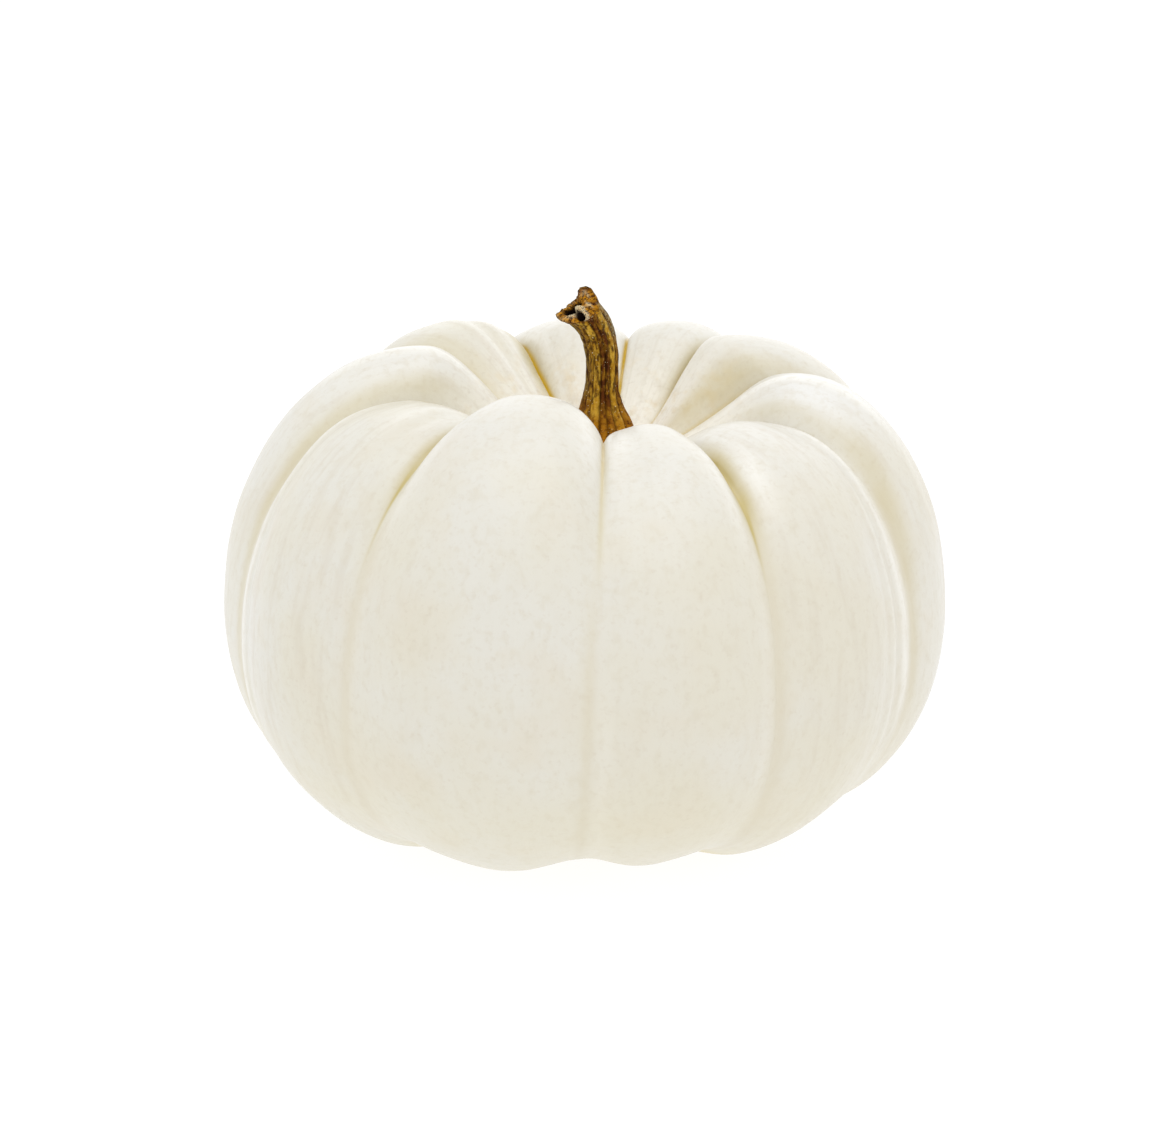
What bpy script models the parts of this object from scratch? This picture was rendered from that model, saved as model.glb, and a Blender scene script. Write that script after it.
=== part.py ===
"""A ribbed white pumpkin with its curved, dried stem. It rests on its lobes and faces -Y."""

import math

import bmesh
import bpy
import numpy as np
from mathutils import Vector

MM = 0.001

# Sizes in this table are millimetres and degrees. The lobes go round from the front to the right:
# their width, their radius at the belly, the radius and height of their crest, the radius where
# they turn under, and how far that place stays off the ground.
LOBES = (
    {"width": 33, "belly": 132, "crest_radius": 59, "crest_height": 163, "foot": 32, "lift": 2.4},
    {"width": 36, "belly": 127, "crest_radius": 64, "crest_height": 160, "foot": 45, "lift": 0},
    {"width": 36, "belly": 132, "crest_radius": 72, "crest_height": 169, "foot": 40, "lift": 0},
    {"width": 36, "belly": 137, "crest_radius": 58, "crest_height": 176, "foot": 42, "lift": 0},
    {"width": 29, "belly": 135, "crest_radius": 68, "crest_height": 175, "foot": 42, "lift": 0},
    {"width": 35, "belly": 132, "crest_radius": 61, "crest_height": 176, "foot": 42, "lift": 0},
    {"width": 39, "belly": 131, "crest_radius": 75, "crest_height": 177, "foot": 42, "lift": 0},
    {"width": 38, "belly": 134, "crest_radius": 65, "crest_height": 177, "foot": 43, "lift": 0},
    {"width": 38, "belly": 131, "crest_radius": 74, "crest_height": 166, "foot": 49, "lift": 0},
    {"width": 40, "belly": 134, "crest_radius": 68, "crest_height": 175, "foot": 44, "lift": 3},
)
# Degrees by which the groove before each lobe bows at mid height and leans at its lower end.
GROOVE_BOW = (0.9, -1.5, -0.4, 0.9, -0.9, 0.3, -1.1, -0.4, 1.2, 1.6)
GROOVE_LEAN = (-2.4, -1.2, -2.9, 0.9, 0, 0, 0, 1, 2.7, -4.7)

BELLY_HEIGHT = 82 * MM
PIT_FLOOR = 140 * MM
SEAT_RADIUS = 16 * MM
BLOSSOM_DIMPLE = 13 * MM
PIT_OFFSET = Vector((6, 9, 0)) * MM
SETTLE = 2 * MM

SHOULDER_ROUNDNESS = 2.06
FLANK_ROUNDNESS = 2.14
CREST_GROOVE_DEPTH = 10.7 * MM
BELLY_GROOVE_DEPTH = 1.7 * MM
FOOT_GROOVE_DEPTH = 8.7 * MM
FULL_GROOVE_RADIUS = 48 * MM
TYPICAL_LOBE = 36

COLUMNS_PER_LOBE = 10
COLUMNS = COLUMNS_PER_LOBE * len(LOBES)
CREST_RING = 9
SHARP_RING = 16
BELLY_RING = 21
FOOT_RING = 34
LAST_RING = 40

# The stem's middle line from its foot, 0.3 mm above the settled pit floor, to its cut end, and its
# radius there, in millimetres.
STEM_LINE = (
    (6, 9, 138.3, 14),
    (6, 9, 144, 12),
    (5.9, 9, 149, 10.4),
    (5.8, 9, 154, 8),
    (5.8, 9, 160, 6.3),
    (6, 8.8, 166, 5.8),
    (5.9, 8.5, 173, 5.8),
    (5.1, 7.9, 179, 6),
    (3.5, 6.9, 184, 6.1),
    (0.7, 5.2, 188.6, 6.2),
    (-3, 3.1, 192.4, 6.6),
)
# The torn rim: degrees round the stem from the front to the right, how far out the rim stands
# there and how far it rises past the line's end, in millimetres. A flange leans out at -90, and
# the highest lobe is at 120.
RIM = (
    (-145, 5.7, 0.4),
    (-115, 7.2, 2.4),
    (-90, 7.2, 4.2),
    (-60, 8.1, 2.4),
    (-35, 7.6, -0.2),
    (-12, 6.9, -2.2),
    (15, 7.1, -2.8),
    (40, 7.9, -3.0),
    (75, 8.0, -0.5),
    (95, 8.1, 1.2),
    (120, 6.8, 3.0),
    (148, 6.1, 1.5),
    (170, 5.7, -0.8),
)
FLARE_REACH = 4 * MM
TEAR_REACH = 7 * MM
# The hollow in the torn end: depth in millimetres, and share of the rim's radius. Its floor lies
# a little to the left of the stem's middle and behind it.
HOLLOW = ((7, 0), (6.8, 0.34), (3.5, 0.47), (0.7, 0.6), (0.2, 0.9))
HOLLOW_LEFT = 1.9 * MM
HOLLOW_BACK = 1.1 * MM
STEM_COLUMNS = 40
STEM_RINGS = 26
RIBS = 10
RIB_DEPTH = 0.07

SKIN_COLOUR = (0.78, 0.76, 0.67)
SKIN_ROUGHNESS = 0.45
STEM_COLOUR = (0.19, 0.1, 0.03)
STEM_ROUGHNESS = 0.75


def blend(start, end, share):
    return start + (end - start) * share


def smooth_step(share):
    return share * share * (3 - 2 * share)


def limited(share):
    return min(max(share, 0), 1)


def bell(distance, spread):
    return math.exp(-((distance / spread) ** 2))


def lobe_value(name, lobe, across):
    """The lobe's own value over its middle, easing to the mean with its neighbour at a groove."""
    neighbour = LOBES[(lobe + (1 if across > 0 else -1)) % len(LOBES)]
    easing = 0.5 * limited((abs(across) - 0.35) / 0.65) ** 2
    return blend(LOBES[lobe][name], neighbour[name], easing)


def groove_angle(groove, ring):
    """Where a groove runs at this ring, in degrees round from the front."""
    straight = sum(lobe["width"] for lobe in LOBES[:groove])
    down = limited((ring - CREST_RING) / (FOOT_RING - CREST_RING))
    bow = GROOVE_BOW[groove % len(LOBES)] * math.sin(math.pi * down)
    lean = GROOVE_LEAN[groove % len(LOBES)] * smooth_step(down)
    return straight + bow + lean


def side_view(ring, shape):
    """Radius and height of the ungrooved fruit, from the pit's middle down to the blossom end."""
    crest_radius, crest_height, belly, foot = shape
    if ring <= 1:
        return SEAT_RADIUS * ring, PIT_FLOOR
    if ring <= CREST_RING:
        share = (ring - 1) / (CREST_RING - 1)
        climb = math.sin(math.pi / 2 * share**1.2) ** 1.4
        return blend(SEAT_RADIUS, crest_radius, share), blend(PIT_FLOOR, crest_height, climb)
    if ring <= BELLY_RING:
        turn = math.pi / 2 * (ring - CREST_RING) / (BELLY_RING - CREST_RING)
        outward = math.sin(turn) ** (2 / SHOULDER_ROUNDNESS)
        upward = math.cos(turn) ** (2 / SHOULDER_ROUNDNESS)
        return blend(crest_radius, belly, outward), blend(BELLY_HEIGHT, crest_height, upward)
    if ring <= FOOT_RING:
        turn = math.pi / 2 * (ring - BELLY_RING) / (FOOT_RING - BELLY_RING)
        outward = limited(math.cos(turn)) ** (2 / FLANK_ROUNDNESS)
        downward = math.sin(turn) ** (2 / FLANK_ROUNDNESS)
        return blend(foot, belly, outward), blend(BELLY_HEIGHT, 0, downward)
    share = (ring - FOOT_RING) / (LAST_RING - FOOT_RING)
    return foot * (1 - share), BLOSSOM_DIMPLE * math.sin(math.pi / 2 * share) ** 2


def outward_slope(ring, shape):
    """The direction square to the side view, as a change in radius and in height."""
    nudge = 0.1
    above = Vector(side_view(max(ring - nudge, 0), shape))
    below = Vector(side_view(min(ring + nudge, LAST_RING), shape))
    along = (below - above).normalized()
    return -along.y, along.x


def groove_depth(ring):
    """Depth of the grooves: deep round the pit, faint at the belly, deep again underneath."""
    pit_spread = 8 if ring < CREST_RING - 1 else 11.5
    at_crest = (CREST_GROOVE_DEPTH - BELLY_GROOVE_DEPTH) * bell(ring - CREST_RING + 1, pit_spread)
    at_foot = (FOOT_GROOVE_DEPTH - BELLY_GROOVE_DEPTH) * bell(ring - FOOT_RING, 4)
    return BELLY_GROOVE_DEPTH + at_crest + at_foot


def groove_section(ring, across):
    """How much of the groove's depth is cut away here: all of it in the groove, none mid lobe."""
    sharpness = 1 / (1 + math.exp((ring - SHARP_RING) / 1.8))
    softening = blend(0.35, 0.02, sharpness)
    fullness = blend(0.8, 0.55, sharpness)
    inside = 1 - abs(across)
    eased = inside**2 / (inside + softening) * (1 + softening)
    return 1 - (1 - (1 - eased) ** 2) ** fullness


def fruit_point(column, ring):
    """A point of the lobed skin, by its column round the fruit and its ring down it."""
    lobe = column // COLUMNS_PER_LOBE
    step = 2 * (column % COLUMNS_PER_LOBE) / COLUMNS_PER_LOBE - 1
    across = math.sin(math.pi / 2 * step)
    start = groove_angle(lobe, ring)
    end = groove_angle(lobe + 1, ring)
    angle = math.radians(blend(start, end, (across + 1) / 2))

    names = ("crest_radius", "crest_height", "belly", "foot", "lift")
    *shape, lift = (lobe_value(name, lobe, across) * MM for name in names)
    radius, height = side_view(ring, shape)
    outward, upward = outward_slope(ring, shape)
    if ring < BELLY_RING:
        fade = limited((radius - SEAT_RADIUS) / (FULL_GROOVE_RADIUS - SEAT_RADIUS)) ** 0.6
        pit_share = 1 - (radius / shape[2]) ** 2
    else:
        fade = limited(radius / FULL_GROOVE_RADIUS) ** 0.8
        pit_share = 0
    width = math.sqrt((end - start) / TYPICAL_LOBE)
    cut = groove_depth(ring) * groove_section(ring, across) * fade * width
    radius -= cut * outward
    height -= cut * upward
    height += lift * limited((ring - BELLY_RING) / (FOOT_RING - BELLY_RING)) ** 2
    height = max(height - SETTLE, 0)
    point = Vector((radius * math.sin(angle), -radius * math.cos(angle), height))
    return point + PIT_OFFSET * pit_share


def stem_station(at):
    """Middle and radius of the stem on a smooth curve through its line; at counts the points."""
    last = len(STEM_LINE) - 1
    step = min(int(at), last - 1)
    before, start, end, after = (
        Vector(STEM_LINE[min(max(step + offset, 0), last)]) for offset in (-1, 0, 1, 2)
    )
    share = at - step
    curve = 2 * start + (end - before) * share
    curve += (2 * before - 5 * start + 4 * end - after) * share**2
    curve += (3 * start - before - 3 * end + after) * share**3
    return curve.xyz * MM / 2, curve.w * MM / 2


def stem_axes(at):
    """The stem's forward, sideways and lengthwise directions at a place along it."""
    nudge = 0.05
    ahead = stem_station(min(at + nudge, len(STEM_LINE) - 1))[0]
    behind = stem_station(max(at - nudge, 0))[0]
    lengthwise = (ahead - behind).normalized() if at > nudge else Vector((0, 0, 1))
    sideways = lengthwise.cross(Vector((0, -1, 0))).normalized()
    return sideways.cross(lengthwise), sideways, lengthwise


def torn_rim(turn):
    """How far out the torn rim stands at this turn, and how far it rises."""
    turns, radii, rises = zip(*RIM)
    degrees = math.degrees(turn)
    radius = np.interp(degrees, turns, radii, period=360)
    return radius * MM, np.interp(degrees, turns, rises, period=360) * MM


def stem_point(column, ring):
    """A point of the stem: down inside its hollow end, over the rim and down to its foot."""
    turn = math.tau * column / STEM_COLUMNS
    rim_ring = len(HOLLOW) - 1
    last = len(STEM_LINE) - 1
    if ring == STEM_RINGS:
        return stem_station(0)[0]
    if ring <= rim_ring:
        depth, width = HOLLOW[ring]
        at = last
    else:
        depth, width = 0, 1
        at = last * (1 - (ring - rim_ring - 1) / (STEM_RINGS - rim_ring - 2))
    middle, radius = stem_station(at)
    end, end_radius = stem_station(last)
    forward, sideways, lengthwise = stem_axes(at)
    to_end = (end - middle).length
    spread = 1 + 0.6 * limited(1 - at / 3)
    rib = 1 + RIB_DEPTH * spread * (math.cos(RIBS * turn) + 0.7 * math.cos(RIBS / 2 * turn))
    rim_radius, rim_rise = torn_rim(turn)
    flare = (rim_radius - end_radius) * smooth_step(limited(1 - to_end / FLARE_REACH))
    reach = (radius * rib + flare) * width
    rise = rim_rise * smooth_step(limited(1 - to_end / TEAR_REACH))
    rise = rise * smooth_step(limited((width - 0.3) / 0.6)) - depth * MM
    point = middle + (forward * math.cos(turn) + sideways * math.sin(turn)) * reach
    point -= (sideways * HOLLOW_LEFT + forward * HOLLOW_BACK) * (1 - width)
    return point + lengthwise * rise


def shaped_ball(name, columns, rings, place, material, collection):
    """A ball whose crossings of columns and rings are moved to where place puts them."""
    body = bmesh.new()
    bmesh.ops.create_uvsphere(body, u_segments=columns, v_segments=rings, radius=1)
    for vert in body.verts:
        turn = math.atan2(vert.co.x, -vert.co.y) / math.tau
        down = math.acos(max(min(vert.co.z, 1), -1)) / math.pi
        vert.co = place(round(turn * columns) % columns, round(down * rings))
    mesh = bpy.data.meshes.new(name)
    body.to_mesh(mesh)
    body.free()
    mesh.materials.append(material)
    mesh.shade_smooth()
    ball = bpy.data.objects.new(name, mesh)
    collection.objects.link(ball)
    return ball


def plain_material(name, colour, roughness):
    material = bpy.data.materials.new(name)
    material.use_nodes = True
    shader = material.node_tree.nodes["Principled BSDF"]
    shader.inputs["Base Color"].default_value = (*colour, 1)
    shader.inputs["Roughness"].default_value = roughness
    shader.inputs["Metallic"].default_value = 0
    return material


def main():
    for old in list(bpy.data.objects):
        bpy.data.objects.remove(old, do_unlink=True)
    pumpkin = bpy.data.collections.new("pumpkin")
    bpy.context.scene.collection.children.link(pumpkin)
    skin = plain_material("skin", SKIN_COLOUR, SKIN_ROUGHNESS)
    bark = plain_material("stem", STEM_COLOUR, STEM_ROUGHNESS)
    shaped_ball("fruit", COLUMNS, LAST_RING, fruit_point, skin, pumpkin)
    shaped_ball("stem", STEM_COLUMNS, STEM_RINGS, stem_point, bark, pumpkin)


main()
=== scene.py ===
"""The looks of a ribbed white pumpkin with a dried, torn stem, on a pale studio floor."""

import math

import bmesh
import bpy
import numpy as np
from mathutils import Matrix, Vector, noise


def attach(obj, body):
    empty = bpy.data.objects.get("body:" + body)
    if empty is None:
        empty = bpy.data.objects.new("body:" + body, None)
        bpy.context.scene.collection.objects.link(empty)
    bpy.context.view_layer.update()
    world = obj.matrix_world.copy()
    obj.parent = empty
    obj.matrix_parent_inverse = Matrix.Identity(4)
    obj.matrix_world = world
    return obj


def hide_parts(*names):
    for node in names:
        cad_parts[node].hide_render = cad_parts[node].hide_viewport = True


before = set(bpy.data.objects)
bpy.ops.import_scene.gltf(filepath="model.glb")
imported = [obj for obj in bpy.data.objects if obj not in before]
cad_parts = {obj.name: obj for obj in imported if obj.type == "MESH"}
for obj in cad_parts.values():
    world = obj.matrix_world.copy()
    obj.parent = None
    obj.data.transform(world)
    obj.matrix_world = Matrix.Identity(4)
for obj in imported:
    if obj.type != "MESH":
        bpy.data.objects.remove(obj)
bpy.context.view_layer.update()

# The rind: one grown body of ten lobes, ivory and softly glossy, with sharp ochre creases round the
# stem pit and faint hollows at the belly. A ball of rings and columns is moved onto the lobes,
# with folds and unevenness along them, and it stands for the solid fruit.
MM = 0.001

# The lobes go round from the front to the right, and a groove's values stand at the lobe after it.
# Widths, bows, leans and shifts are degrees, and a groove's depth is a share of the full one.
LOBE_WIDTHS = np.array((33, 36, 36, 36, 29, 35, 39, 38, 38, 40))
BELLY_RADII = np.array((132, 127, 132, 137, 135, 132, 131, 134, 131, 134)) * MM
CREST_RADII = np.array((59, 64, 72, 58, 68, 61, 75, 65, 74, 68)) * MM
CREST_HEIGHTS = np.array((163, 160, 169, 176, 175, 176, 177, 177, 166, 175)) * MM
FOOT_RADII = np.array((32, 45, 40, 42, 42, 42, 42, 43, 49, 44)) * MM
FOOT_LIFTS = np.array((2.4, 0, 0, 0, 0, 0, 0, 0, 0, 3)) * MM
GROOVE_BOWS = np.array((1.9, -1.5, -0.4, 0.9, -0.9, 0.3, -1.1, -0.4, 1.2, 1.6))
GROOVE_LEANS = np.array((-2.4, -1.2, -2.9, 0.9, 0, 0, 0, 1, 2.7, -4.7))
CREST_SHIFTS = np.array((1.2, 0, 0, 0, 0, 0, 0, 0, 0, 0))
GROOVE_DEPTHS = np.array((1, 1, 1, 1, 1, 0.78, 1, 1, 1, 1))

BELLY_HEIGHT = 82 * MM
PIT_FLOOR = 140 * MM
SEAT_RADIUS = 16 * MM
BLOSSOM_DIMPLE = 13 * MM
PIT_OFFSET = (6 * MM, 9 * MM)
SETTLE = 2 * MM
SHOULDER_ROUNDNESS = 2.06
FLANK_ROUNDNESS = 2.14
CREST_GROOVE_DEPTH = 10.7 * MM
BELLY_GROOVE_DEPTH = 1.7 * MM
FOOT_GROOVE_DEPTH = 8.7 * MM
FULL_GROOVE_RADIUS = 48 * MM
TYPICAL_LOBE = 36
LOBE_MIDDLE = 0.35

# Stations down the side view, and how finely the skin is divided between and round them.
CREST, SHARP_END, BELLY, FOOT, BLOSSOM = 9, 16, 21, 34, 40
RINGS_PER_STATION = 4
COLUMNS_PER_LOBE = 60
LOBES = len(LOBE_WIDTHS)
COLUMNS = COLUMNS_PER_LOBE * LOBES


def blend(start, end, share):
    return start + (end - start) * share


def eased(share):
    share = np.clip(share, 0, 1)
    return share * share * (3 - 2 * share)


def bell(distance, spread):
    return np.exp(-((distance / spread) ** 2))


def ball_mesh(name, columns, rings):
    """A ball's mesh, with the column and the ring of each of its vertices."""
    ball = bmesh.new()
    bmesh.ops.create_uvsphere(ball, u_segments=columns, v_segments=rings, radius=1)
    mesh = bpy.data.meshes.new(name)
    ball.to_mesh(mesh)
    ball.free()
    spots = np.empty(3 * len(mesh.vertices), np.float32)
    mesh.vertices.foreach_get("co", spots)
    x, y, z = spots.reshape(-1, 3).astype(float).T
    column = np.round(np.arctan2(x, -y) / math.tau * columns) % columns
    ring = np.round(np.arccos(np.clip(z, -1, 1)) / math.pi * rings)
    return mesh, column, ring


def place_vertices(mesh, points):
    mesh.vertices.foreach_set("co", points.astype(np.float32).ravel())
    mesh.shade_smooth()
    mesh.update()


def paint_values(mesh, name, values):
    kind = "FLOAT" if values.ndim == 1 else "FLOAT_VECTOR"
    layer = mesh.attributes.new(name, kind, "POINT")
    key = "value" if values.ndim == 1 else "vector"
    layer.data.foreach_set(key, values.astype(np.float32).ravel())


def show_piece(mesh, name, material):
    mesh.materials.append(material)
    piece = bpy.data.objects.new(name, mesh)
    bpy.context.scene.collection.objects.link(piece)
    return piece


def lumps(points, size):
    """Smooth random values from -1 to 1 whose lumps are about this size."""
    return np.array([noise.noise(point) for point in (points / size).tolist()])


rind, column, ring = ball_mesh("rind", COLUMNS, BLOSSOM * RINGS_PER_STATION)
station = ring / RINGS_PER_STATION
lobe = (column // COLUMNS_PER_LOBE).astype(int)
across = np.sin(math.pi / 2 * (2 * (column % COLUMNS_PER_LOBE) / COLUMNS_PER_LOBE - 1))


def lobe_values(values):
    """Each lobe's own value over its middle, easing to the mean with its neighbour at a groove."""
    neighbour = values[(lobe + np.where(across > 0, 1, -1)) % LOBES]
    beyond = np.clip((abs(across) - LOBE_MIDDLE) / (1 - LOBE_MIDDLE), 0, 1)
    return blend(values[lobe], neighbour, 0.5 * beyond**2)


def groove_angles(groove):
    straight = np.concatenate(([0], np.cumsum(LOBE_WIDTHS)))[groove]
    down = np.clip((station - CREST) / (FOOT - CREST), 0, 1)
    bow = GROOVE_BOWS[groove % LOBES] * np.sin(math.pi * down)
    shift = CREST_SHIFTS[groove % LOBES] * (1 - eased(2 * down))
    return straight + bow + shift + GROOVE_LEANS[groove % LOBES] * eased(down)


def side_view(at, crest_radius, crest_height, belly, foot):
    """Radius and height of the ungrooved fruit, from the pit's middle down to the blossom end."""
    climb = np.clip((at - 1) / (CREST - 1), 0, 1)
    over = math.pi / 2 * np.clip((at - CREST) / (BELLY - CREST), 0, 1)
    under = math.pi / 2 * np.clip((at - BELLY) / (FOOT - BELLY), 0, 1)
    inward = np.clip((at - FOOT) / (BLOSSOM - FOOT), 0, 1)
    pit_radius = np.where(at < 1, SEAT_RADIUS * at, blend(SEAT_RADIUS, crest_radius, climb))
    pit_height = blend(PIT_FLOOR, crest_height, np.sin(math.pi / 2 * climb**1.2) ** 1.4)
    above = 2 / SHOULDER_ROUNDNESS
    below = 2 / FLANK_ROUNDNESS
    upper_radius = blend(crest_radius, belly, np.sin(over) ** above)
    upper_height = blend(BELLY_HEIGHT, crest_height, np.clip(np.cos(over), 0, 1) ** above)
    lower_radius = blend(foot, belly, np.clip(np.cos(under), 0, 1) ** below)
    lower_height = BELLY_HEIGHT * (1 - np.sin(under) ** below)
    dimple = BLOSSOM_DIMPLE * np.sin(math.pi / 2 * inward) ** 2
    parts = [at < CREST, at < BELLY, at < FOOT]
    radius = np.select(parts, [pit_radius, upper_radius, lower_radius], foot * (1 - inward))
    return radius, np.select(parts, [pit_height, upper_height, lower_height], dimple)


# The side view at each vertex, and its outward direction from the stations just above and below.
NUDGE = 0.1
shape = [lobe_values(values) for values in (CREST_RADII, CREST_HEIGHTS, BELLY_RADII, FOOT_RADII)]
radius, height = side_view(station, *shape)
radius_above, height_above = side_view(np.maximum(station - NUDGE, 0), *shape)
radius_below, height_below = side_view(np.minimum(station + NUDGE, BLOSSOM), *shape)
slope_length = np.hypot(radius_below - radius_above, height_below - height_above)
outward = -(height_below - height_above) / slope_length
upward = (radius_below - radius_above) / slope_length

# The creases: sharp and deep at the crest, faint at the belly, deep again where the lobes stand.
# Their bottom is rounded by these millimetres at these stations. Fades down to the belly and spreads
# are stations, and the other pairs shape the section where it is blunt and where it is sharp.
ROUNDING_STATIONS = (0, 9, 12, 16, 20, 30, 35, 40)
ROUNDINGS = (0.2, 0.3, 0.8, 2.5, 4.5, 4.5, 2, 0.5)
SHARP_FADE = 1.8
BLUNT_SOFTENING, SHARP_SOFTENING = 0.35, 0.02
BLUNT_FULLNESS, SHARP_FULLNESS = 0.8, 0.55
PIT_SPREAD, SHOULDER_SPREAD, FOOT_SPREAD = 8, 11.5, 4
PIT_FADE, FOOT_FADE = 0.6, 0.8
start, end = groove_angles(lobe), groove_angles(lobe + 1)
angle = np.radians(blend(start, end, (across + 1) / 2))
sharpness = 1 / (1 + np.exp((station - SHARP_END) / SHARP_FADE))
softening = blend(BLUNT_SOFTENING, SHARP_SOFTENING, sharpness)
lobe_span = radius * np.radians(end - start) / 2 / MM
rounding = np.interp(station, ROUNDING_STATIONS, ROUNDINGS)
inside = np.hypot((1 - abs(across)) * lobe_span, rounding) - rounding
inside = inside / np.maximum(np.hypot(lobe_span, rounding) - rounding, 0.001)
section = inside**2 / (inside + softening) * (1 + softening)
cut_share = 1 - (1 - (1 - section) ** 2) ** blend(BLUNT_FULLNESS, SHARP_FULLNESS, sharpness)
crest_spread = np.where(station < CREST - 1, PIT_SPREAD, SHOULDER_SPREAD)
crest_cut = (CREST_GROOVE_DEPTH - BELLY_GROOVE_DEPTH) * bell(station - CREST + 1, crest_spread)
foot_cut = (FOOT_GROOVE_DEPTH - BELLY_GROOVE_DEPTH) * bell(station - FOOT, FOOT_SPREAD)
pit_fade = np.clip((radius - SEAT_RADIUS) / (FULL_GROOVE_RADIUS - SEAT_RADIUS), 0, 1) ** PIT_FADE
foot_fade = np.clip(radius / FULL_GROOVE_RADIUS, 0, 1) ** FOOT_FADE
fade = np.where(station < BELLY, pit_fade, foot_fade)
lobe_size = np.sqrt(lobe_values(LOBE_WIDTHS) / TYPICAL_LOBE)
groove = (lobe + (across > 0)) % LOBES
full_cut = BELLY_GROOVE_DEPTH + crest_cut * GROOVE_DEPTHS[groove] + foot_cut
cut = full_cut * cut_share * fade * lobe_size

# Folds along the lobes: which lobe, how far across it, height and half width in millimetres, and
# the first and last station, where they fade in and out over the next values' stations. A height
# below nothing is a furrow.
FOLDS = (
    (8, -0.84, 1.0, 4.5, 9, 28), (8, -0.68, -0.4, 3, 11, 26), (8, 0.3, 0.5, 5, 6, 14),
    (8, 0.55, -0.5, 4, 6, 14), (1, 0.85, 1.0, 4, 9, 25), (1, 0.72, -0.5, 2.5, 11, 27),
    (1, 0.6, 0.4, 2.5, 11, 27), (1, 0.46, -0.4, 2.5, 12, 27), (2, -0.25, 1.1, 5, 4, 15),
    (2, -0.48, -0.6, 4, 4, 15), (2, 0.05, 0.4, 3, 14, 30), (2, -0.12, -0.4, 3, 14, 30),
    (7, 0.22, 1.1, 5, 4, 15), (7, 0.44, -0.6, 4, 4, 15), (6, -0.5, 0.9, 3, 2, 12),
    (6, -0.3, -0.7, 3, 2, 12), (6, -0.08, 0.8, 3, 2, 12), (3, -0.2, 0.4, 4, 3, 11),
    (3, 0.4, -0.5, 4, 10, 24), (4, -0.3, 0.4, 6, 8, 24), (5, 0.35, 0.4, 6, 8, 22),
    (6, 0.5, -0.5, 4, 10, 26), (9, -0.9, 0.3, 4, 13, 27), (0, 0.9, 0.3, 4, 13, 27),
)
FADE_IN, FADE_OUT = 3, 4
relief = np.zeros(len(station))
for fold_lobe, place, fold_height, half_width, first, last in FOLDS:
    near = bell((across - place) * lobe_span, half_width) * (lobe == fold_lobe)
    relief += (
        fold_height * MM * near * eased((station - first) / FADE_IN) * eased((last - station) / FADE_OUT)
    )
relief_of_folds = relief.copy()

# The skin's unevenness in broad and small lumps, and its grain, which runs down the lobes. The grain
# shows on the side and back lobes, and hardly on the two in front.
UNEVENNESS = 0.55 * MM
BROAD_LUMP = 45 * MM
SMALL_LUMP = 17 * MM
STREAK_HEIGHT = 0.14 * MM
STREAK_WIDTH = 5 * MM
STREAK_SQUEEZE = (1, 1, 0.12)
STREAKINESS = np.array((0.2, 0.7, 0.6, 0.5, 0.6, 0.3, 0.8, 0.6, 0.9, 0.15))
BELLY_RADIUS = 130 * MM
DOWN_THE_SKIN = np.array((0, 70, 185, 295, 345)) * MM
plain = np.column_stack((radius * np.sin(angle), -radius * np.cos(angle), height))
relief += UNEVENNESS * (lumps(plain, BROAD_LUMP) + 0.5 * lumps(plain, SMALL_LUMP)) * fade
down = np.interp(station, (0, CREST, BELLY, FOOT, BLOSSOM), DOWN_THE_SKIN)
grain = np.column_stack((BELLY_RADIUS * np.sin(angle), -BELLY_RADIUS * np.cos(angle), down))
streakiness = lobe_values(STREAKINESS)
streaks = lumps(grain * STREAK_SQUEEZE, STREAK_WIDTH)
relief += STREAK_HEIGHT * streakiness * streaks * eased((radius - SEAT_RADIUS) / SEAT_RADIUS)

# Each vertex moved onto the skin. The pit lies a little behind the fruit's middle and to its right.
pit_share = np.where(station < BELLY, 1 - (radius / shape[2]) ** 2, 0)
flank = np.clip((station - BELLY) / (FOOT - BELLY), 0, 1)
skin_radius = radius - (cut - relief) * outward
skin_height = height - (cut - relief) * upward + lobe_values(FOOT_LIFTS) * flank**2
skin_height = np.maximum(skin_height - SETTLE, 0)
skin = np.column_stack((
    skin_radius * np.sin(angle) + PIT_OFFSET[0] * pit_share,
    -skin_radius * np.cos(angle) + PIT_OFFSET[1] * pit_share,
    skin_height,
))
place_vertices(rind, skin)

# Thin ochre stains in the creases, each with its own strength in the pit and at the crest. Their half
# width is in millimetres, and they end past the shoulder.
STAINS_IN_PIT = np.array((0.8, 0.7, 0.3, 0.4, 0.4, 1, 1, 0.3, 0.3, 0.5))
STAINS_AT_CREST = np.array((0.6, 0.35, 0.2, 0.15, 0.3, 1, 1, 0.2, 0.2, 0.15))
STAIN_HALF_WIDTH = 0.6
STAIN_END = 16
crease_distance = (1 - abs(across)) * lobe_span
stain = blend(STAINS_IN_PIT[groove], STAINS_AT_CREST[groove], eased((station - 4) / 4))
stain = stain * (0.3 + 0.7 * eased(station / 2)) * eased((STAIN_END - station) / 6)
crease = stain * np.exp(-((crease_distance / STAIN_HALF_WIDTH) ** 3))

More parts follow.
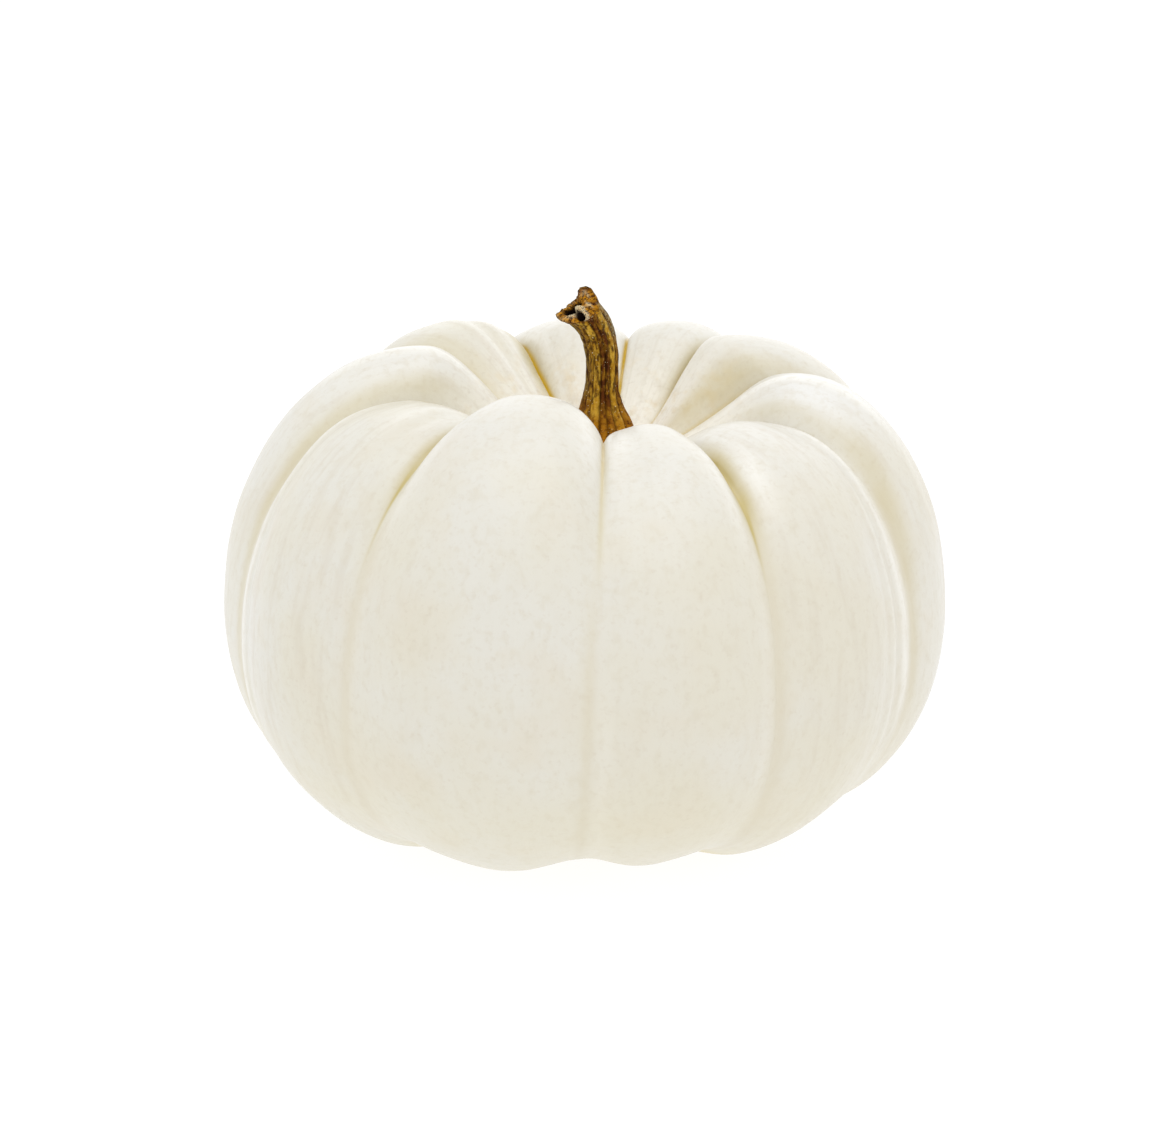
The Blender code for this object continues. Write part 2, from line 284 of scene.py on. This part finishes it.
# Bands along the grooves: which groove, how far to its right, half width in millimetres, strength, and the
# first and last station. The olive ones lie along the creases and behind the rims, partly the skin's own
# olive and partly painted shade. The rim ones are painted highlights on the lobes' rims, the hollow ones
# are painted shade in buff filling the hollows at the belly, and the ochre ones are stains spread on the
# pit's slopes.
OLIVE_AND_SHADE_BANDS = (
    (1, 1.5, 3.0, 0.8, 8, 17), (1, 2.5, 2, 0.8, 12, 15), (1, 0.4, 0.9, 0.8, 9, 18),
    (9, -1.2, 2.4, 0.8, 8, 16), (9, -0.4, 0.9, 0.8, 9, 18), (0, 0.5, 1.3, 0.4, 9, 18),
    (8, -3, 3.5, 0.35, 5, 27), (7, -3, 3, 0.4, 3, 15),
    (2, 3, 3.5, 0.35, 5, 25), (2, 7, 4, 0.35, 11, 21), (3, 3, 4, 0.5, 1, 13),
    (5, 1, 3, 0.3, 9, 16), (4, -0.5, 3, 0.7, 3, 14), (6, 2.5, 3.5, 0.6, 3, 12), (7, -9, 4, 0.3, 4, 12),
)
# Painted highlights: pale bands along the lobes' rims.
RIM_HIGHLIGHT_BANDS = (
    (9, 6, 5, 0.5, 8, 17), (1, -6, 5, 0.5, 8, 17), (1, 9, 4, 0.5, 9, 16), (2, -3, 3, 0.4, 4, 22),
    (8, 3, 3, 0.4, 4, 22), (3, -3, 3, 0.5, 2, 16), (7, 3, 3, 0.5, 2, 16), (4, -4, 4, 0.5, 3, 12),
    (0, 5, 4, 0.4, 7, 14), (0, 5, 3, 0.12, 19, 33), (0, -5, 4, 0.4, 7, 14),
    (6, -3, 3, 0.6, 2, 12), (5, 3, 3, 0.6, 2, 12),
)
# Painted shade: buff bands in the hollows beside the belly's grooves.
HOLLOW_SHADE_BANDS = (
    (0, -1, 2.2, 0.4, 16, 36), (1, 2, 4, 0.5, 14, 36), (9, 2.5, 4, 0.5, 14, 36), (8, 0, 4, 0.4, 14, 36),
    (2, 0, 4, 0.4, 14, 36), (3, -2, 4, 0.5, 12, 36), (4, 2, 4, 0.5, 12, 36), (5, 0, 4, 0.4, 12, 36),
    (6, -2, 4, 0.5, 12, 36), (7, 1, 4, 0.4, 12, 36),
)
OCHRE_SHADES = (
    (6, -6, 4, 0.45, 2, 8), (5, 6, 4, 0.3, 2, 7), (3, 4, 3, 0.45, 3, 9), (7, -4, 3, 0.3, 3, 8),
)


def shades_along(shades):
    """The strength of all these shades at each vertex."""
    to_right = np.where(across > 0, -crease_distance, crease_distance)
    strengths = np.zeros(len(station))
    for shade_groove, offset, half_width, strength, first, last in shades:
        near = bell(to_right - offset, half_width) * (groove == shade_groove)
        fading = near * eased((station - first) / FADE_IN) * eased((last - station) / FADE_OUT)
        strengths += strength * fading
    return np.minimum(strengths, 1)


# What the material reads: the stains, tints, painted shade and painted highlights along the grooves, the
# painted highlights on the lobes' crowns, and how far a vertex lies in the pit, towards the ground or to
# the right side, where a warmer light is painted.
# Each lobe's share of a painted highlight on its crown, a whitening of its top.
CROWN_HIGHLIGHT_SHARES = np.array((0.5, 0.5, 0.9, 0.3, 0.5, 0.5, 0, 0.6, 0.1, 0.3))
CROWN_STATION = 9.5
FOLD_HIGHLIGHT = 0.6
# The rims' painted highlights, with more painted highlight along the folds' ridges.
rim_highlights = shades_along(RIM_HIGHLIGHT_BANDS) + FOLD_HIGHLIGHT * eased(relief_of_folds / MM)
paint_values(rind, "ochre", shades_along(OCHRE_SHADES))
paint_values(rind, "olive_and_shade", shades_along(OLIVE_AND_SHADE_BANDS))
paint_values(rind, "painted_hollow_shade", shades_along(HOLLOW_SHADE_BANDS))
paint_values(rind, "grain", grain)
paint_values(rind, "crease", crease)
paint_values(rind, "painted_rim_highlight", np.minimum(rim_highlights, 1))
paint_values(rind, "outer", eased((station - 6) / 4))
paint_values(rind, "pit", eased(1 - (station - 3) / 5))
paint_values(rind, "painted_crown_highlight", lobe_values(CROWN_HIGHLIGHT_SHARES) * bell(station - CROWN_STATION, 4))
paint_values(rind, "streaky", streakiness)
paint_values(rind, "edge", eased((station - 30) / 3) * eased((37 - station) / 3))
paint_values(rind, "under", 0.4 * eased((station - BELLY) / 6) + 0.6 * eased((station - 28) / 5))
paint_values(rind, "painted_light_right", eased(0.5 + skin[:, 0] / (2 * BELLY_RADIUS)))
paint_values(rind, "scar", eased((station - BLOSSOM + 1.4) / 0.6))


def add_node(material, kind, inputs, **settings):
    """A shader node whose inputs are values or the outputs of other nodes."""
    tree = material.node_tree
    made = tree.nodes.new(kind)
    for name, setting in settings.items():
        setattr(made, name, setting)
    for name, value in inputs.items():
        if isinstance(value, bpy.types.NodeSocket):
            tree.links.new(value, made.inputs[name])
        else:
            made.inputs[name].default_value = value
    return made


def attribute(material, name, output="Fac"):
    return add_node(material, "ShaderNodeAttribute", {}, attribute_name=name).outputs[output]


def speckle(material, place, size, detail=3, stretch=1):
    """Noise with lumps about this size, drawn out by stretch along the third direction."""
    squeezed = add_node(material, "ShaderNodeMapping", {"Vector": place, "Scale": (1, 1, 1 / stretch)})
    inputs = {"Vector": squeezed.outputs["Vector"], "Scale": 1 / size, "Detail": detail}
    return add_node(material, "ShaderNodeTexNoise", inputs).outputs["Fac"]


def ranged(material, value, low, high, top=1):
    """How far the value lies between low and high, times top."""
    inputs = {"Value": value, "From Min": low, "From Max": high, "To Max": top}
    return add_node(material, "ShaderNodeMapRange", inputs).outputs["Result"]


def total(material, first, second):
    return add_node(material, "ShaderNodeMath", {0: first, 1: second}, operation="ADD").outputs[0]


def product(material, first, second):
    return add_node(material, "ShaderNodeMath", {0: first, 1: second}, operation="MULTIPLY").outputs[0]


def opaque(colour):
    """A plain colour with its alpha; the output of a node is left as it is."""
    return (*colour, 1) if isinstance(colour, tuple) else colour


# The numbers of the colour mixer's own sockets.
MIX_SHARE, MIX_FIRST, MIX_SECOND, MIX_RESULT = 0, 6, 7, 2


def tinted(material, share, first, second):
    """The first colour turning into the second by a share of 0 to 1."""
    inputs = {MIX_SHARE: share, MIX_FIRST: opaque(first), MIX_SECOND: opaque(second)}
    return add_node(material, "ShaderNodeMix", inputs, data_type="RGBA").outputs[MIX_RESULT]


def new_material(name):
    """A new material, its shader and the place of a point on the piece."""
    material = bpy.data.materials.new(name)
    material.use_nodes = True
    shader = material.node_tree.nodes["Principled BSDF"]
    place = add_node(material, "ShaderNodeTexCoord", {}).outputs["Object"]
    return material, shader, place


def link_bump(material, shader, heights, distance):
    bump = add_node(material, "ShaderNodeBump", {"Height": heights, "Distance": distance})
    material.node_tree.links.new(bump.outputs["Normal"], shader.inputs["Normal"])


# The skin's colours, from its ground tone to the stains and the cork of the blossom scar, with the painted
# highlights, the painted fill light of the pit and the painted shade among them.
IVORY = (0.712, 0.682, 0.575)
CHALK = (0.722, 0.706, 0.640)
CREAM = (0.705, 0.650, 0.530)
CROWN_HIGHLIGHT = (0.800, 0.795, 0.770)
PIT_FILL_LIGHT = (0.920, 0.890, 0.790)
HIGHLIGHT_WHITE = (0.900, 0.885, 0.830)
BEIGE = (0.590, 0.520, 0.410)
ROSY = (0.630, 0.570, 0.440)
OCHRE = (0.740, 0.530, 0.045)
KHAKI = (0.640, 0.490, 0.170)
OLD_STAIN = (0.730, 0.580, 0.320)
STRAW = (0.740, 0.670, 0.430)
YELLOWED = (0.720, 0.600, 0.270)
OLIVE_AND_SHADE = (0.530, 0.430, 0.160)
HOLLOW_SHADE = (0.650, 0.585, 0.430)
CORK = (0.300, 0.190, 0.090)


def rind_material():
    rind_skin, shader, place = new_material("rind_skin")
    along = attribute(rind_skin, "grain", "Vector")
    clouds = speckle(rind_skin, place, 48 * MM)
    colour = tinted(rind_skin, ranged(rind_skin, clouds, 0.38, 0.62), CHALK, IVORY)
    # The right side turned creamier, a painted warm light from the right.
    colour = tinted(rind_skin, ranged(rind_skin, attribute(rind_skin, "painted_light_right"), 0, 1, 0.3), colour, CREAM)
    patches = ranged(rind_skin, speckle(rind_skin, place, 21 * MM), 0.5, 0.72, 0.55)
    colour = tinted(rind_skin, patches, colour, CREAM)
    # The lobes' tops turned whiter, a painted highlight.
    colour = tinted(rind_skin, attribute(rind_skin, "painted_crown_highlight"), colour, CROWN_HIGHLIGHT)
    # The pit's slopes turned paler, a painted fill light in the shaded pit.
    colour = tinted(rind_skin, attribute(rind_skin, "pit"), colour, PIT_FILL_LIGHT)
    # The rims and fold ridges turned whiter, a painted highlight.
    colour = tinted(rind_skin, attribute(rind_skin, "painted_rim_highlight"), colour, HIGHLIGHT_WHITE)
    streak = speckle(rind_skin, along, 5 * MM, 4, 7)
    streaked = ranged(rind_skin, streak, 0.5, 0.78, 0.5)
    streaked = product(rind_skin, streaked, attribute(rind_skin, "streaky"))
    colour = tinted(rind_skin, streaked, colour, BEIGE)
    mottle = speckle(rind_skin, place, 3.2 * MM, 6, 1.4)
    colour = tinted(rind_skin, ranged(rind_skin, mottle, 0.5, 0.7, 0.28), colour, ROSY)
    dots = speckle(rind_skin, place, 1.8 * MM, 2)
    colour = tinted(rind_skin, ranged(rind_skin, dots, 0.56, 0.78, 0.3), colour, BEIGE)
    stains = ranged(rind_skin, speckle(rind_skin, place, 5 * MM, 5), 0.52, 0.7, 0.4)
    stained = product(rind_skin, stains, attribute(rind_skin, "pit"))
    colour = tinted(rind_skin, stained, colour, OLD_STAIN)
    spread = ranged(rind_skin, speckle(rind_skin, place, 4 * MM, 4), 0.35, 0.65)
    spread = product(rind_skin, spread, attribute(rind_skin, "ochre"))
    colour = tinted(rind_skin, spread, colour, OLD_STAIN)
    colour = tinted(rind_skin, ranged(rind_skin, attribute(rind_skin, "under"), 0, 1, 0.65), colour, STRAW)
    yellowed = ranged(rind_skin, patches, -0.3, 0.5)
    yellowed = product(rind_skin, attribute(rind_skin, "edge"), yellowed)
    colour = tinted(rind_skin, yellowed, colour, YELLOWED)
    # The belly's hollows turned buff, a painted shade.
    colour = tinted(rind_skin, attribute(rind_skin, "painted_hollow_shade"), colour, HOLLOW_SHADE)
    # Olive along the creases and behind the rims, partly the skin's own tint and partly painted shade.
    olive_and_shade = ranged(rind_skin, ranged(rind_skin, clouds, 0.3, 0.55), -1, 1)
    olive_and_shade = product(rind_skin, attribute(rind_skin, "olive_and_shade"), olive_and_shade)
    colour = tinted(rind_skin, olive_and_shade, colour, OLIVE_AND_SHADE)
    broken = ranged(rind_skin, speckle(rind_skin, place, 9 * MM), 0.1, 0.5)
    creased = product(rind_skin, attribute(rind_skin, "crease"), broken)
    ochre = tinted(rind_skin, attribute(rind_skin, "outer"), OCHRE, KHAKI)
    colour = tinted(rind_skin, creased, colour, ochre)
    colour = tinted(rind_skin, attribute(rind_skin, "scar"), colour, CORK)
    rind_skin.node_tree.links.new(colour, shader.inputs["Base Color"])
    gloss = add_node(rind_skin, "ShaderNodeMapRange", {"Value": mottle, "To Min": 0.32, "To Max": 0.5})
    rind_skin.node_tree.links.new(gloss.outputs["Result"], shader.inputs["Roughness"])
    shader.inputs["Coat Weight"].default_value = 0.4
    shader.inputs["Coat Roughness"].default_value = 0.22
    heights = total(rind_skin, streak, product(rind_skin, mottle, 0.35))
    heights = total(rind_skin, heights, product(rind_skin, dots, 0.06))
    link_bump(rind_skin, shader, heights, 0.25 * MM)
    return rind_skin


rind_piece = show_piece(rind, "rind", rind_material())
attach(rind_piece, "root")
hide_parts("fruit")

# The stem: a dried, woody stalk that flares into ridges where it grows out of the pit, with deep
# dark furrows between its ribs. Its cut end is torn open and hollow, with a tall lobe at the back
# right, a flange that leans out to the left and a small second hole in front.

# Its middle line from the foot to the cut end, and its radius there, in millimetres.
STEM_LINE = np.array((
    (6, 9, 138.3, 14),
    (6, 9, 144, 12),
    (5.9, 9, 149, 10.4),
    (5.8, 9, 154, 8),
    (5.8, 9, 160, 6.3),
    (6, 8.8, 166, 5.8),
    (5.9, 8.5, 173, 5.8),
    (5.1, 7.9, 179, 6),
    (3.5, 6.9, 184, 6.1),
    (0.7, 5.2, 188.6, 6.2),
    (-3, 3.1, 192.4, 6.6),
)) * MM
STEM_END = len(STEM_LINE) - 1
STEM_COLUMNS = 192
END_RINGS = 56
SIDE_RINGS = 170
SOLE_RINGS = 6


def stem_station(at):
    """Middle and radius of the stem on a smooth curve through its line; at counts the points."""
    step = np.clip(np.floor(at), 0, STEM_END - 1).astype(int)
    before, start, end, after = (
        STEM_LINE[np.clip(step + offset, 0, STEM_END)] for offset in (-1, 0, 1, 2)
    )
    share = (at - step)[:, None]
    curve = 2 * start + (end - before) * share
    curve += (2 * before - 5 * start + 4 * end - after) * share**2
    curve += (3 * start - before - 3 * end + after) * share**3
    return curve[:, :3] / 2, curve[:, 3] / 2


def unit(vectors):
    return vectors / np.linalg.norm(vectors, axis=1)[:, None]


def stem_axes(at):
    """The stem's forward, sideways and lengthwise directions at each place along it."""
    ahead = stem_station(np.minimum(at + NUDGE, STEM_END))[0]
    behind = stem_station(np.maximum(at - NUDGE, 0))[0]
    lengthwise = unit(ahead - behind)
    sideways = unit(np.cross(lengthwise, (0, -1, 0)))
    return np.cross(sideways, lengthwise), sideways, lengthwise


stalk, stem_column, stem_ring = ball_mesh("stalk", STEM_COLUMNS, END_RINGS + SIDE_RINGS + SOLE_RINGS)
turn = 360 * stem_column / STEM_COLUMNS
reach = np.clip(stem_ring / END_RINGS, 0, 1)
climb_down = np.clip((stem_ring - END_RINGS) / SIDE_RINGS, 0, 1)
sole = np.clip((stem_ring - END_RINGS - SIDE_RINGS) / SOLE_RINGS, 0, 1)
at = STEM_END * (1 - climb_down)
middle, stem_radius = stem_station(at)
forward, sideways, lengthwise = stem_axes(at)
to_end = np.linalg.norm(stem_station(np.full(len(at), STEM_END))[0] - middle, axis=1) / MM


def turned_from(place):
    """Degrees round the stem from a place, from -180 to 180."""
    return (turn - place + 180) % 360 - 180


# The furrows: degrees round from the front to the right, their depth in millimetres and, for the
# rib that follows each, how golden it is.
FURROWS = (
    (355, 1.2, 0.05), (12, 0.9, 0.15), (29, 0.9, 1), (58, 0.9, 0.4), (86, 0.6, 0.2), (121, 0.9, 0.6),
    (157, 0.6, 0.3), (196, 0.9, 0.7), (232, 0.7, 0.3), (268, 0.8, 0.3), (302, 0.8, 0.5), (326, 0.5, 1),
)
rib_share = np.zeros(len(turn))
furrow_depth = np.zeros(len(turn))
gold = np.zeros(len(turn))
for number, (place, depth, tint) in enumerate(FURROWS):
    next_place, next_depth, _ = FURROWS[(number + 1) % len(FURROWS)]
    width = (next_place - place) % 360
    share = np.minimum((turn - place) % 360 / width, 1)
    here = share < 1
    rib_share = np.where(here, np.sin(math.pi * share) ** 0.8, rib_share)
    furrow_depth = np.where(here, blend(depth, next_depth, share), furrow_depth)
    gold = np.where(here, tint, gold)

# The furrows grow deeper towards the foot, and the bark has wrinkles along its fibres and knots.
# Heights are in millimetres.
GROWTH_STATIONS = (0, 2, 3.5, 5, 8, 10)
FURROW_GROWTH = (2.0, 1.9, 1.3, 1, 0.9, 0.6)
WAIST_RADIUS = 6
STEP_LENGTH = 6
WRINKLE_SIZE, FINE_WRINKLE_SIZE, KNOT_SIZE = 1.6, 0.8, 3.2
WRINKLE_HEIGHT, KNOT_HEIGHT = 0.16, 0.22
rib_cut = furrow_depth * (1 - rib_share) * np.interp(at, GROWTH_STATIONS, FURROW_GROWTH)
along_stem = at * STEP_LENGTH * MM
around = np.column_stack((np.sin(np.radians(turn)), -np.cos(np.radians(turn))))
round_stem = around * WAIST_RADIUS * MM
fibre = np.column_stack((round_stem, along_stem))
wrinkles = lumps(fibre * (1, 1, 0.22), WRINKLE_SIZE * MM)
wrinkles += 0.6 * lumps(fibre * (1, 1, 0.4), FINE_WRINKLE_SIZE * MM)
knots = lumps(fibre, KNOT_SIZE * MM)
side_relief = WRINKLE_HEIGHT * wrinkles + KNOT_HEIGHT * knots - rib_cut + 0.45 * furrow_depth

# The torn rim: turns round the stem, how far out it stands there and how far it rises, in
# millimetres. The flange is between -90 and -60 and the tall lobe at 120. The rim flares out over
# the last millimetres of the stem, most abruptly at the flange.
RIM = np.array((
    (-145, 5.7, 0.4), (-115, 7.2, 2.4), (-90, 7.2, 4.2), (-60, 8.1, 2.4), (-35, 7.6, -0.2),
    (-12, 6.9, -2.2), (15, 7.1, -2.8), (40, 7.9, -3.0), (75, 8.0, -0.5), (95, 8.1, 1.2),
    (120, 6.8, 3.0), (148, 6.1, 1.5), (170, 5.7, -0.8),
))
rim_radius = np.interp(turn, RIM[:, 0], RIM[:, 1], period=360)
rim_rise = np.interp(turn, RIM[:, 0], RIM[:, 2], period=360)
edge_points = np.column_stack((round_stem, np.zeros(len(turn))))
jagged = 0.7 * lumps(edge_points, 1.6 * MM) + 0.4 * lumps(edge_points, 0.6 * MM)
TEAR_REACH = 7
FLARE_REACH = 5.5
FLANGE_TURN = -70
near_end = eased(1 - to_end / TEAR_REACH)
flare_end = eased(1 - to_end / (FLARE_REACH - 3 * bell(turned_from(FLANGE_TURN), 50)))

# The hollow in it: a main cavity on the left, a small pocket in front behind a curled wall, and
# folded, ragged tissue on the right. Places on the cut are millimetres to the right and forward.
CAVITY_DEPTH = 7
POCKET_DEPTH = 4
POCKET_RIGHT, POCKET_FRONT = -1.3, 4.4
CURL_HEIGHT = 1.5
END_RADIUS = 6.6
RIM_SPREAD = 1.13
rightward = RIM_SPREAD * END_RADIUS * reach * np.sin(np.radians(turn))
frontward = RIM_SPREAD * END_RADIUS * reach * np.cos(np.radians(turn))
cut_points = np.column_stack((rightward, frontward, 0 * reach)) * MM
from_cavity = np.hypot((rightward + 1.9) / 3.5, (frontward + 1.1) / 3.7)
from_cavity += 0.12 * lumps(cut_points, 1.8 * MM)
cavity = CAVITY_DEPTH * eased((1.12 - from_cavity) / 0.4)
from_pocket = np.hypot(rightward - POCKET_RIGHT, frontward - POCKET_FRONT)
pocket = POCKET_DEPTH * eased(1.6 - from_pocket / 1.1)
curl = CURL_HEIGHT * bell(np.hypot((rightward + 0.6) / 3.6, (frontward - 2.7) / 0.9), 1)
pocket_lip = bell(from_pocket - 2.3, 0.7) * eased((rightward + 1.8) / 1.5)
curl += 0.6 * pocket_lip
folds = 0.9 * lumps(cut_points * (1, 0.45, 1), 1.5 * MM) * eased((rightward + 1) / 2.5)
ragged = 0.4 * lumps(cut_points, 0.8 * MM) + 0.6 * eased((reach - 0.4) / 0.4)
end_drop = cavity + pocket - curl - folds + ragged
ROUND_START, ROUND_WIDTH = 0.86, 0.14
over_rim = np.sqrt(np.clip(1 - ((reach - ROUND_START) / ROUND_WIDTH) ** 2, 0, 1))
rim_round = 0.9 * (1 - over_rim) * (reach > ROUND_START)

# Each vertex moved out from the middle line and along it, and none below the foot.
width_now = stem_radius / MM + side_relief * np.where(reach < 1, eased((reach - 0.5) / 0.5), 1)
width_now = (width_now + (rim_radius - END_RADIUS) * flare_end) * reach * (1 - sole)
rise_now = rim_rise * eased((reach - 0.3) / 0.6) + 0.8 * jagged * eased((reach - 0.6) / 0.4)
rise_now *= near_end
rise_now -= np.where(reach < 1, (end_drop + rim_round) * (1 - eased((reach - 0.97) / 0.03)), 0)
turning = np.radians(turn)[:, None]
stalk_points = middle + (forward * np.cos(turning) + sideways * np.sin(turning)) * width_now[:, None] * MM
stalk_points += lengthwise * rise_now[:, None] * MM
stalk_points[:, 2] = np.maximum(stalk_points[:, 2], STEM_LINE[0, 2])
place_vertices(stalk, stalk_points)

# What the material reads: the fibres, furrows and golden ribs of the bark, its foot, its olive left side
# with a painted sheen and its right side with a painted grey-green sheen, and on the torn end the painted
# shade of its depths, its pale lips and the dark tall lobe.
inner = (reach < 0.999).astype(float)
lips = curl + pocket_lip + folds + 0.35 * jagged + 0.3 * eased((reach - 0.8) / 0.2)
paint_values(stalk, "fibre", fibre)
paint_values(stalk, "furrow", (1 - rib_share) * (1 - inner))
paint_values(stalk, "gold", gold)
paint_values(stalk, "foot", eased(1.3 - at / 3.2))
paint_values(stalk, "torn", inner)
# The depths of the torn end, which carry a painted shade.
paint_values(stalk, "painted_cavity_shade", np.clip((cavity + pocket) / 1.2, 0, 1) * inner)
paint_values(stalk, "lip", eased(lips / 0.9) * inner)
paint_values(stalk, "apex", 0.75 * bell(turned_from(125), 30) * eased((reach - 0.5) / 0.3) * inner)
paint_values(stalk, "grey_green_sheen", bell(turned_from(85), 32) * eased((at - 6) / 2))
paint_values(stalk, "olive_bark_sheen", bell(turned_from(-80), 32) * eased((at - 3) / 2))

# The bark's colours, then those of the torn end, with painted sheens on the bark and the painted shade of
# the hollow among them.
GOLDEN = (0.400, 0.200, 0.011)
GLEAM = (0.640, 0.400, 0.050)
REDDISH = (0.095, 0.024, 0.002)
DARK = (0.030, 0.007, 0.001)
RUST = (0.400, 0.160, 0.005)
OLIVE_BARK_SHEEN = (0.260, 0.175, 0.040)
TAN = (0.750, 0.660, 0.420)
GREY_GREEN_SHEEN = (0.300, 0.270, 0.150)
ORANGE = (0.520, 0.230, 0.010)
CRUST = (0.085, 0.024, 0.003)
MAROON = (0.130, 0.030, 0.006)
PALE_LIP = (0.760, 0.640, 0.400)
CAVITY_SHADE = (0.006, 0.002, 0.001)


def stalk_material():
    stalk_bark, shader, place = new_material("stalk_bark")
    along = attribute(stalk_bark, "fibre", "Vector")
    threads = speckle(stalk_bark, along, 1.0 * MM, 5, 3)
    blotches = speckle(stalk_bark, along, 2.2 * MM, 5, 2)
    flecks = speckle(stalk_bark, along, 0.7 * MM, 3, 1.5)
    golden = ranged(stalk_bark, blotches, 0.3, 0.7, 0.9)
    golden = total(stalk_bark, attribute(stalk_bark, "gold"), golden)
    golden = total(stalk_bark, golden, ranged(stalk_bark, flecks, 0.35, 0.65, 0.4))
    colour = tinted(stalk_bark, ranged(stalk_bark, golden, 0.6, 1.45), REDDISH, GOLDEN)
    colour = tinted(stalk_bark, ranged(stalk_bark, golden, 1.4, 2.0, 0.8), colour, GLEAM)
    # The stem's left side turned olive, partly the bark's own colour and partly a painted sheen.
    olive_bark_sheen = ranged(stalk_bark, blotches, 0.3, 0.5)
    olive_bark_sheen = product(stalk_bark, attribute(stalk_bark, "olive_bark_sheen"), olive_bark_sheen)
    colour = tinted(stalk_bark, olive_bark_sheen, colour, OLIVE_BARK_SHEEN)
    colour = tinted(stalk_bark, ranged(stalk_bark, threads, 0.47, 0.62, 0.85), colour, DARK)
    rusty = ranged(stalk_bark, flecks, 0.3, 0.55, 0.9)
    rusty = product(stalk_bark, attribute(stalk_bark, "foot"), rusty)
    colour = tinted(stalk_bark, rusty, colour, RUST)
    # The upper right side turned grey-green, a painted sheen.
    grey_green_sheen = ranged(stalk_bark, flecks, 0.4, 0.6)
    grey_green_sheen = product(stalk_bark, attribute(stalk_bark, "grey_green_sheen"), grey_green_sheen)
    colour = tinted(stalk_bark, grey_green_sheen, colour, GREY_GREEN_SHEEN)
    furrows = ranged(stalk_bark, attribute(stalk_bark, "furrow"), 0.5, 1, 0.9)
    colour = tinted(stalk_bark, furrows, colour, DARK)
    crumbs = speckle(stalk_bark, place, 0.7 * MM, 2)
    colour = tinted(stalk_bark, ranged(stalk_bark, crumbs, 0.68, 0.74, 0.8), colour, TAN)
    flesh = tinted(stalk_bark, ranged(stalk_bark, flecks, 0.38, 0.55), CRUST, ORANGE)
    pale = ranged(stalk_bark, crumbs, 0.3, 0.5)
    pale = product(stalk_bark, attribute(stalk_bark, "lip"), pale)
    flesh = tinted(stalk_bark, pale, flesh, PALE_LIP)
    flesh = tinted(stalk_bark, attribute(stalk_bark, "apex"), flesh, MAROON)
    flesh = tinted(stalk_bark, ranged(stalk_bark, crumbs, 0.52, 0.62, 0.85), flesh, DARK)
    # The cavity and the pocket turned black, a painted shade in the hollow.
    flesh = tinted(stalk_bark, attribute(stalk_bark, "painted_cavity_shade"), flesh, CAVITY_SHADE)
    colour = tinted(stalk_bark, attribute(stalk_bark, "torn"), colour, flesh)
    stalk_bark.node_tree.links.new(colour, shader.inputs["Base Color"])
    shader.inputs["Roughness"].default_value = 0.62
    shader.inputs["Specular IOR Level"].default_value = 0.08
    heights = total(stalk_bark, threads, product(stalk_bark, crumbs, 0.4))
    link_bump(stalk_bark, shader, heights, 0.5 * MM)
    return stalk_bark


stalk_piece = show_piece(stalk, "stalk", stalk_material())
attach(stalk_piece, "root")
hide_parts("stem")

# The floor, lights and camera: a white glowing table top in white surroundings, with a wide soft
# light above it and a weaker one behind, seen from 16 degrees above the level.
FLOOR_SIZE = 12
FLOOR_GREY = 0.15
FLOOR_GLOW = 0.9
SURROUNDINGS_GLOW = 1.02
floor_mesh = bpy.data.meshes.new("floor")
floor_shape = bmesh.new()
bmesh.ops.create_grid(floor_shape, x_segments=1, y_segments=1, size=FLOOR_SIZE / 2)
floor_shape.to_mesh(floor_mesh)
floor_shape.free()
floor_white = bpy.data.materials.new("floor_white")
floor_white.use_nodes = True
floor_shader = floor_white.node_tree.nodes["Principled BSDF"]
floor_shader.inputs["Base Color"].default_value = (FLOOR_GREY, FLOOR_GREY, FLOOR_GREY, 1)
floor_shader.inputs["Emission Color"].default_value = (1, 1, 1, 1)
floor_shader.inputs["Emission Strength"].default_value = FLOOR_GLOW
floor_shader.inputs["Roughness"].default_value = 0.9
floor_shader.inputs["Specular IOR Level"].default_value = 0.1
floor = show_piece(floor_mesh, "floor", floor_white)

world = bpy.data.worlds.new("studio")
bpy.context.scene.world = world
world.use_nodes = True
world.node_tree.nodes["Background"].inputs["Color"].default_value = (1, 1, 1, 1)
world.node_tree.nodes["Background"].inputs["Strength"].default_value = SURROUNDINGS_GLOW


def soft_light(name, place, aim, width, power):
    light = bpy.data.lights.new(name, "AREA")
    light.shape = "SQUARE"
    light.size = width
    light.energy = power
    lamp = bpy.data.objects.new(name, light)
    bpy.context.scene.collection.objects.link(lamp)
    lamp.location = place
    lamp.rotation_euler = (Vector(aim) - Vector(place)).to_track_quat("-Z", "Y").to_euler()


soft_light("overhead", (0.1, -0.2, 1.4), (0, 0, 0.05), 1.2, 3)
soft_light("backdrop", (0.3, 1.5, 0.75), (0, 0, 0.1), 1.6, 2)

CAMERA_AIM = Vector((-1, 0, 93.7)) * MM
CAMERA_TARGET = Vector((0, 0, 86)) * MM
CAMERA_DISTANCE = 1.25
CAMERA_ELEVATION = math.radians(16.1)
LENS = 104.6
SENSOR_WIDTH = 36
camera_data = bpy.data.cameras.new("camera")
camera_data.lens = LENS
camera_data.sensor_width = SENSOR_WIDTH
camera = bpy.data.objects.new("camera", camera_data)
bpy.context.scene.collection.objects.link(camera)
back = Vector((0, -math.cos(CAMERA_ELEVATION), math.sin(CAMERA_ELEVATION)))
camera.location = CAMERA_TARGET + back * CAMERA_DISTANCE
camera.rotation_euler = (CAMERA_AIM - camera.location).to_track_quat("-Z", "Y").to_euler()
bpy.context.scene.camera = camera

bpy.context.scene.view_settings.view_transform = "Standard"
